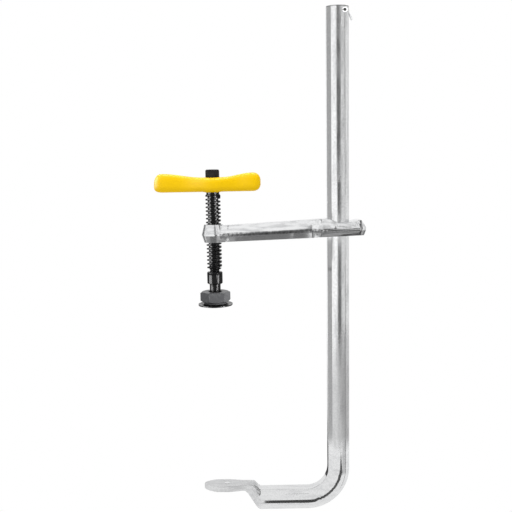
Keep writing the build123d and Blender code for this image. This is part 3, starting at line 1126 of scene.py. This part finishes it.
# What the bar's ridge, faces, corners and chamfers mirror
BAR_CARDS = (
    Card("top ridge card", (0.1919, -0.3, 0.5883), (0.125, 0.0374), Facing.FRONT, 0.13),
    Card("upper ridge card", (0.2843, -0.8, 0.5165), (0.3394, 0.367), Facing.FRONT, 0.13),
    Card("ridge card over the arm", (0.1639, -0.15, 0.3045), (0.0602, 0.051), Facing.FRONT, 0.13),
    Card("ridge card under the arm", (0.1639, -0.15, 0.194), (0.0602, 0.128), Facing.FRONT, 0.13),
    Card("lower ridge card", (0.2015, -0.35, 0.0555), (0.1471, 0.151), Facing.FRONT, 0.13),
    Card("outer face card", (0.35, -0.35, 0.275), (0.13, 0.95), Facing.FRONT, 0.66),
    Card("low corner card", (0.178, -0.042, 0.089), (0.298, 0.046), Facing.SIDE, 0.02),
    Card("middle corner card", (0.178, -0.046, 0.2765), (0.077, 0.038), Facing.SIDE, 0.3),
    Card("high corner card", (0.178, -0.042, 0.4375), (0.245, 0.046), Facing.SIDE, 0.02),
    Card("outer chamfer card", (0.9, -0.1, 0.3), (2.4, 0.4), Facing.SIDE, 0.74),
    Card("low chamfer card", (0.085, -0.0285, 0.1505), (0.235, 0.033), Facing.SIDE, 0.38),
    Card("high chamfer card", (0.085, -0.0285, 0.424), (0.212, 0.033), Facing.SIDE, 0.38),
    Card("near chamfer card", (0.11, -0.015, 0.309), (0.033, 0.013), Facing.SIDE, 0.38),
)

# What the lower arm, the bend and the jaw's dimple mirror
JAW_CARDS = (
    Card("low card", (0.098, -0.25, -0.185), (0.104, 0.122), Facing.FRONT, 0.07),
    Card("bend card", (0.182, -0.251, -0.146), (0.13, 0.075), Facing.FRONT_ALONG_BEND, 0.1),
    Card("dimple card", (-0.0126, 0.35, -0.15), (0.25, 0.17), Facing.FRONT, 0.05),
)

# What the sliding arm and its eye mirror
ARM_CARDS = (
    Card("land card", (0.06, -0.08, 0.2675), (0.09, 0.055), Facing.FRONT, 0.14),
    Card("arm card", (0.0635, -0.036, 0.235), (0.083, 0.042), Facing.LEVEL, 0.16),
    Card("eye card", (-0.034, -0.0375, 0.235), (0.112, 0.075), Facing.LEVEL, 0.34),
    Card("throat card", (-0.004, -0.056, 0.237), (0.06, 0.04), Facing.LEVEL, 0.14),
    Card("eye side card", (0.028, -0.03, 0.2495), (0.027, 0.03), Facing.SIDE, 0.4),
    Card("root card", (0.028, -0.03, 0.277), (0.028, 0.03), Facing.SIDE, 0.9),
)

# What outlines mirror at a grazing angle
BACK_CARDS = (
    Card("left back card", (-0.6, 0.45, 0.3), (2.4, 0.6), Facing.SIDE, 0.2),
    Card("right back card", (0.75, 0.55, 0.3), (2.4, 0.6), Facing.SIDE, 0.3),
)

# Points that the lamps are aimed at
CLAMP_MIDDLE = (0.04, 0.0, 0.25)
SPINDLE_MIDDLE = (0.0, 0.0, 0.25)
CAP_MIDDLE = (0.0, 0.0, 0.21)
PIN_MIDDLE = (PIN_AXIS[0], 0.0, PIN_AXIS[1])
GRIP_MIDDLE = (0.0, 0.0, 0.33)

LAMPS = (
    Softbox("top softbox", (-0.2, -0.5, 1.4), CLAMP_MIDDLE, (0.9, 0.9), 7.0, Reach.MATTE),
    Softbox(
        "left strip", (-0.9, -0.4, 0.3), SPINDLE_MIDDLE, (0.8, 1.4), 66.0, Reach.SHEEN, Lit.TURNED
    ),
    Softbox(
        "right strip", (0.72, -0.5, 0.3), SPINDLE_MIDDLE, (0.72, 1.4), 115.0, Reach.SHEEN, Lit.TURNED
    ),
    Softbox("cap lamp", (0.8, -0.35, 0.35), CAP_MIDDLE, (0.4, 0.4), 8.0, Reach.MATTE, Lit.CAP),
    Softbox("left cap lamp", (-0.6, -0.68, 0.3), CAP_MIDDLE, (0.15, 0.3), 20.0, Reach.SHEEN, Lit.CAP),
    Softbox("right cap lamp", (0.88, -0.18, 0.3), CAP_MIDDLE, (0.15, 0.3), 20.0, Reach.SHEEN, Lit.CAP),
    Softbox("pin lamp", (0.1741, -0.25, 0.5695), PIN_MIDDLE, (0.14, 0.14), 0.08, lit=Lit.STOP),
    Softbox(
        "left grip lamp", (-1.0, -0.15, 0.65), GRIP_MIDDLE, (1.0, 0.9), 190.0, Reach.SHEEN, Lit.GRIP
    ),
    Softbox("top grip lamp", (0.0, 0.3, 1.3), GRIP_MIDDLE, (1.2, 0.6), 40.0, Reach.SHEEN, Lit.GRIP),
)


@dataclass
class Studio:
    """White studio: floor, world, cards, lamps and the camera."""

    azimuth: float = 0.06
    elevation: float = 6.55
    roll: float = -1.05
    focal_pixels: float = 611.9
    frame_pixels: int = 512
    sensor_width: float = 36.0
    distance: float = 0.6534
    target: Point = (0.04441, 0.0, 0.2539)
    floor_size: float = 30.0
    floor_z: float = -0.26
    white: float = 1.0
    fill: float = 0.8
    cards: tuple[Card, ...] = BAR_CARDS + JAW_CARDS + ARM_CARDS + BACK_CARDS
    lamps: tuple[Softbox, ...] = LAMPS

    def build_floor(self) -> None:
        """Lay a wide white floor."""
        floor = Bench.add(
            bpy.ops.mesh.primitive_plane_add,
            size=self.floor_size,
            location=(0.0, 0.0, self.floor_z),
        )
        floor.name = "floor"
        graph = Graph("white floor")
        graph.glow(self.white)
        floor.data.materials.append(graph.material)
        floor.visible_diffuse = False
        floor.visible_shadow = False

    def build_world(self) -> None:
        """White for the camera and for reflections, dimmer as a fill light."""
        world = bpy.data.worlds.new("studio")
        bpy.context.scene.world = world
        world.use_nodes = True
        tree = world.node_tree
        back = tree.nodes["Background"]
        back.inputs["Color"].default_value = (1.0, 1.0, 1.0, 1.0)
        rays = tree.nodes.new("ShaderNodeLightPath")
        strength = tree.nodes.new("ShaderNodeMapRange")
        strength.inputs["To Min"].default_value = self.white
        strength.inputs["To Max"].default_value = self.fill
        tree.links.new(rays.outputs["Is Diffuse Ray"], strength.inputs["Value"])
        tree.links.new(strength.outputs["Result"], back.inputs["Strength"])

    def build_lights(self) -> None:
        """Place the cards and lamps, and keep the grip's yellow out of the zinc."""
        for light in (*self.cards, *self.lamps):
            light.build()
        bpy.data.objects["handle_grip" + Bench.skin_suffix].visible_glossy = False

    def build_camera(self) -> None:
        """Place the camera."""
        az, el, roll = (radians(a) for a in (self.azimuth, self.elevation, self.roll))
        back = Vector((sin(az) * cos(el), -cos(az) * cos(el), sin(el)))
        right = (-back).cross(Vector((0.0, 0.0, 1.0))).normalized()
        up = back.cross(right)
        side = right * cos(roll) + up * sin(roll)
        top = up * cos(roll) - right * sin(roll)
        camera = Bench.add(bpy.ops.object.camera_add)
        camera.data.sensor_width = self.sensor_width
        camera.data.lens = self.sensor_width * self.focal_pixels / self.frame_pixels
        matrix = Matrix((side, top, back)).transposed().to_4x4()
        matrix.translation = Vector(self.target) + back * self.distance
        camera.matrix_world = matrix
        bpy.context.scene.camera = camera

    def build(self) -> None:
        """Set up the whole studio."""
        self.build_floor()
        self.build_world()
        self.build_lights()
        self.build_camera()
        scene = bpy.context.scene
        scene.view_settings.view_transform = "Standard"
        scene.render.resolution_x = self.frame_pixels
        scene.render.resolution_y = self.frame_pixels


def main() -> None:
    """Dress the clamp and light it."""
    logging.basicConfig(level=logging.INFO, format="%(name)s: %(message)s")
    for part in (BarAssembly(), SlidingArm(), SpindleAssembly(), Handle(), SwivelPad()):
        for piece in part.dress():
            log.info("%s: %s dressed", type(part).__name__, piece.name)
    Studio().build()


if __name__ == "__main__":
    main()
